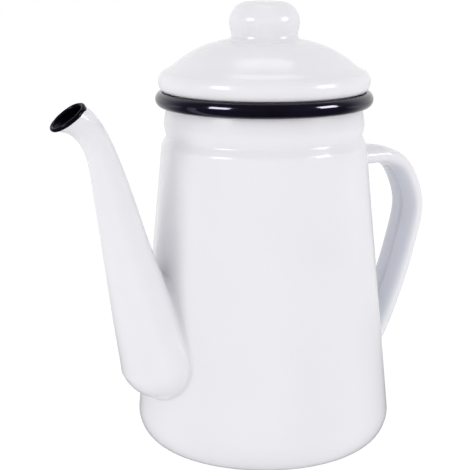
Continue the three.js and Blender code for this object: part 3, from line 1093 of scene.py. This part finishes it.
net = edit(bead)
bpy.ops.mesh.select_all(action="SELECT")
middle = sum((corner.co for corner in net.verts), Vector()) / len(net.verts)
reach = max((corner.co - middle).length for corner in net.verts)
inset = 1 - SHEET / 2 / reach
bpy.ops.transform.resize(value=(inset, inset, inset), center_override=middle)
bpy.ops.object.mode_set(mode="OBJECT")
bpy.ops.object.convert(target="CURVE")
bead.data.bevel_depth = SPOUT_LIP_RADIUS
bead.data.bevel_resolution = BEAD_RESOLUTION
bpy.ops.object.convert(target="MESH")

swell = bpy.data.textures.new("bead_swell", "CLOUDS")
swell.noise_scale = BEAD_SWELL_SIZE
apply_modifier(
    bead, "swell", "DISPLACE",
    texture=swell, texture_coords="LOCAL", strength=BEAD_SWELL, mid_level=0.5,
)
finish(bead, "pot", "dark_enamel", lip_dark)
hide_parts("spout_lip")

# %% [markdown]
# ## The spout's wall
#
# The spout has been a skin without thickness until now, so that the bead could be taken
# from its edge. Its two finishes go on before the wall does, because Solidify then gives
# the second one to the new inner skin by itself.

# %% Thicken the spout
spout.data.materials.append(spout_outside)
spout.data.materials.append(spout_inside_dip_and_shade)
thicken(spout, material_offset=1)
finish(spout, "pot", "white_enamel_spout")
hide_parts("spout_left", "spout_right")

# %% [markdown]
# ## The handle
#
# The handle is a strap of sheet rolled to a flat oval. Its two edges nearly meet along the
# inner side, where the fingers are, and the enamel has run into the gap and left a shallow
# valley there. It is made like the spout, by drawing a section along a route, but the
# section is squarer than an oval and dips at its seam. Both ends get the same hollow weld.

# %% The handle's section and route
HANDLE_TOP_DROP = 6.2 * MM
HANDLE_TOP_HEIGHT = CONE_TOP_HEIGHT - HANDLE_TOP_DROP
HANDLE_FOOT_HEIGHT = 39.6 * MM
HANDLE_STANDOFF = 32.5 * MM
HANDLE_WIDTH = 21 * MM
HANDLE_DEPTH = 8.4 * MM
HANDLE_SQUARENESS = 2.5
SEAM_DEPTH = 1.9 * MM
SEAM_HALF_WIDTH = 2.0 * MM
SEAM_STEPS = 8
HANDLE_SIDES = 44
HANDLE_STEPS = 90
HANDLE_SHARES = [
    (-0.14, 0), (0.23, 0), (0.545, 0.007), (0.843, 0.078), (1, 0.27),
    (0.815, 0.484), (0.517, 0.718), (0.172, 0.932), (-0.145, 1.06), (-0.415, 1.145),
]


def oval_edge(across):
    """The section's inner side at a share of its half width, with the valley at the seam."""
    side = (1 - across ** HANDLE_SQUARENESS) ** (1 / HANDLE_SQUARENESS)
    share = min(across * HANDLE_WIDTH / 2 / SEAM_HALF_WIDTH, 1)
    dip = SEAM_DEPTH / (HANDLE_DEPTH / 2) * (1 + math.cos(math.pi * share)) / 2
    return side - dip


def handle_section():
    """Half a unit across each way, from the middle of the seam round to it again."""
    edge = SEAM_HALF_WIDTH / (HANDLE_WIDTH / 2)
    seam = [(oval_edge(edge * i / SEAM_STEPS), edge * i / SEAM_STEPS) for i in range(SEAM_STEPS)]
    seam_turn = math.asin(edge ** (HANDLE_SQUARENESS / 2))
    section = list(seam)
    for i in range(HANDLE_SIDES + 1):
        turn = seam_turn + i / HANDLE_SIDES * 2 * (math.pi - seam_turn)
        section.append(tuple(
            math.copysign(abs(value) ** (2 / HANDLE_SQUARENESS), value)
            for value in (math.cos(turn), math.sin(turn))
        ))
    return section + [(out, -across) for out, across in reversed(seam)]


handle_route = []
for out, down in HANDLE_SHARES:
    height = HANDLE_TOP_HEIGHT - down * (HANDLE_TOP_HEIGHT - HANDLE_FOOT_HEIGHT)
    handle_route.append((wall_radius(height) + out * HANDLE_STANDOFF, height))
handle_line = smooth_line(handle_route, HANDLE_STEPS)
handle_stations = [
    (centre, lean, HANDLE_DEPTH / 2, HANDLE_WIDTH / 2)
    for centre, lean in zip(handle_line, leans_of(handle_line))
]
print("handle reaches", round(max(centre[0] for centre in handle_line) / MM, 1), "mm")

# %% Draw the handle
HANDLE_WELD = 1.3 * MM

section = handle_section()
first = handle_stations[0]
handle = start_point("strap_handle")
bpy.ops.transform.translate(value=(section[0][0] + first[0][0], section[0][1], first[0][1]))
for before, after in zip(section, section[1:]):
    step = (after[0] - before[0], after[1] - before[1], 0)
    bpy.ops.mesh.extrude_region_move(TRANSFORM_OT_translate={"value": step})
bpy.ops.mesh.select_all(action="SELECT")
bpy.ops.mesh.remove_doubles(threshold=SAME_POINT)
shape_ring(*first)
bpy.ops.mesh.edge_face_add()
draw_along(handle_stations)
bpy.ops.mesh.select_all(action="SELECT")
bpy.ops.mesh.normals_make_consistent(inside=False)
bpy.ops.object.mode_set(mode="OBJECT")
weld_on(handle, HANDLE_WELD)
finish(handle, "pot", "white_enamel_handle", handle_white)
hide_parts("handle_strap")

# %% [markdown]
# ## The lid
#
# The lid is pressed from one sheet: a rolled edge that rests on the rim, a narrow ledge
# and a shallow dome. A band under it, the collar, drops into the neck. The knob is a
# hollow pressing of its own. All three are turned shapes, so each is spun from its line.

# %% Spin the lid
LID_RADIUS = 48.9 * MM
LID_ROLL_HALF_WIDTH = 3.6 * MM
LID_ROLL_HALF_HEIGHT = 4.9 * MM
LID_ROLL_START = math.radians(60)
LID_ROLL_END = math.radians(75)
LID_KNEE_INSET = 6.2 * MM
LID_KNEE_HEIGHT = 10.85 * MM
LID_DOME_HEIGHT = 22.85 * MM
LID_DOME_BOW = 2.05 * MM
LID_TOP_MARGIN = 0.6 * MM
LID_HOLE_RADIUS = 12 * MM
LID_STEPS = 24
KNOB_RADIUS = 16.3 * MM
KNOB_FOOT_SHARE = 1.07


def bow(start, end, sag, steps):
    """A shallow parabola between two points, bulging to the left by sag."""
    across = (end[0] - start[0], end[1] - start[1])
    length = math.hypot(*across)
    middle = (
        (start[0] + end[0]) / 2 + across[1] / length * 2 * sag,
        (start[1] + end[1]) / 2 - across[0] / length * 2 * sag,
    )
    line = []
    for i in range(steps + 1):
        t = i / steps
        line.append(tuple(
            (1 - t) ** 2 * a + 2 * t * (1 - t) * b + t ** 2 * c
            for a, b, c in zip(start, middle, end)
        ))
    return line


lid_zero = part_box("lid_dome")[1].z - LID_DOME_HEIGHT
roll_centre = (
    LID_RADIUS - LID_ROLL_HALF_WIDTH,
    lid_zero + LID_ROLL_HALF_HEIGHT * math.sin(LID_ROLL_START),
)
roll = arc(
    roll_centre, LID_ROLL_HALF_WIDTH, LID_ROLL_HALF_HEIGHT, -LID_ROLL_START, LID_ROLL_END, LID_STEPS,
)
knee = (LID_RADIUS - LID_KNEE_INSET, lid_zero + LID_KNEE_HEIGHT)
dome_top = (KNOB_RADIUS * KNOB_FOOT_SHARE + LID_TOP_MARGIN, lid_zero + LID_DOME_HEIGHT)
dome = bow(knee, dome_top, LID_DOME_BOW, LID_STEPS)
lid = spin_line("lid_shell", roll + dome + [(LID_HOLE_RADIUS, lid_zero + LID_DOME_HEIGHT)])
face_outwards(lid, (LID_RADIUS, 0, lid_zero + LID_DOME_HEIGHT))
thicken(lid)
round_edges(lid, EDGE_ROUND)
finish(lid, "lid", "white_enamel_lid", lid_white)
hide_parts("lid_dome")

# %% Spin the collar
collar_low, collar_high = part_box("lid_collar")
collar_radius = collar_high.x
collar = spin_line("lid_band", [(collar_radius, collar_low.z), (collar_radius, collar_high.z)])
face_outwards(collar, (collar_radius + SHEET, 0, collar_low.z))
thicken(collar)
round_edges(collar, EDGE_ROUND)
finish(collar, "lid", "white_enamel_lid", lid_white)
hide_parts("lid_collar")

# %% Spin the knob
KNOB_HEIGHT = 17.8 * MM
KNOB_STEPS = 48
KNOB_SHARES = [
    (KNOB_FOOT_SHARE, 0), (0.975, 0.06), (0.945, 0.17), (0.975, 0.33), (1, 0.5),
    (0.955, 0.66), (0.81, 0.85), (0.6, 0.955), (0.3, 0.995), (0, 1),
]

knob_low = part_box("lid_knob")[0].z
knob_line = smooth_line([
    (out * KNOB_RADIUS, knob_low + up * KNOB_HEIGHT) for out, up in KNOB_SHARES
], KNOB_STEPS)
knob = spin_line("lid_knob_cap", knob_line)
thicken(knob)
round_edges(knob, EDGE_ROUND)
finish(knob, "lid", "white_enamel_lid", lid_white)
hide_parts("lid_knob")
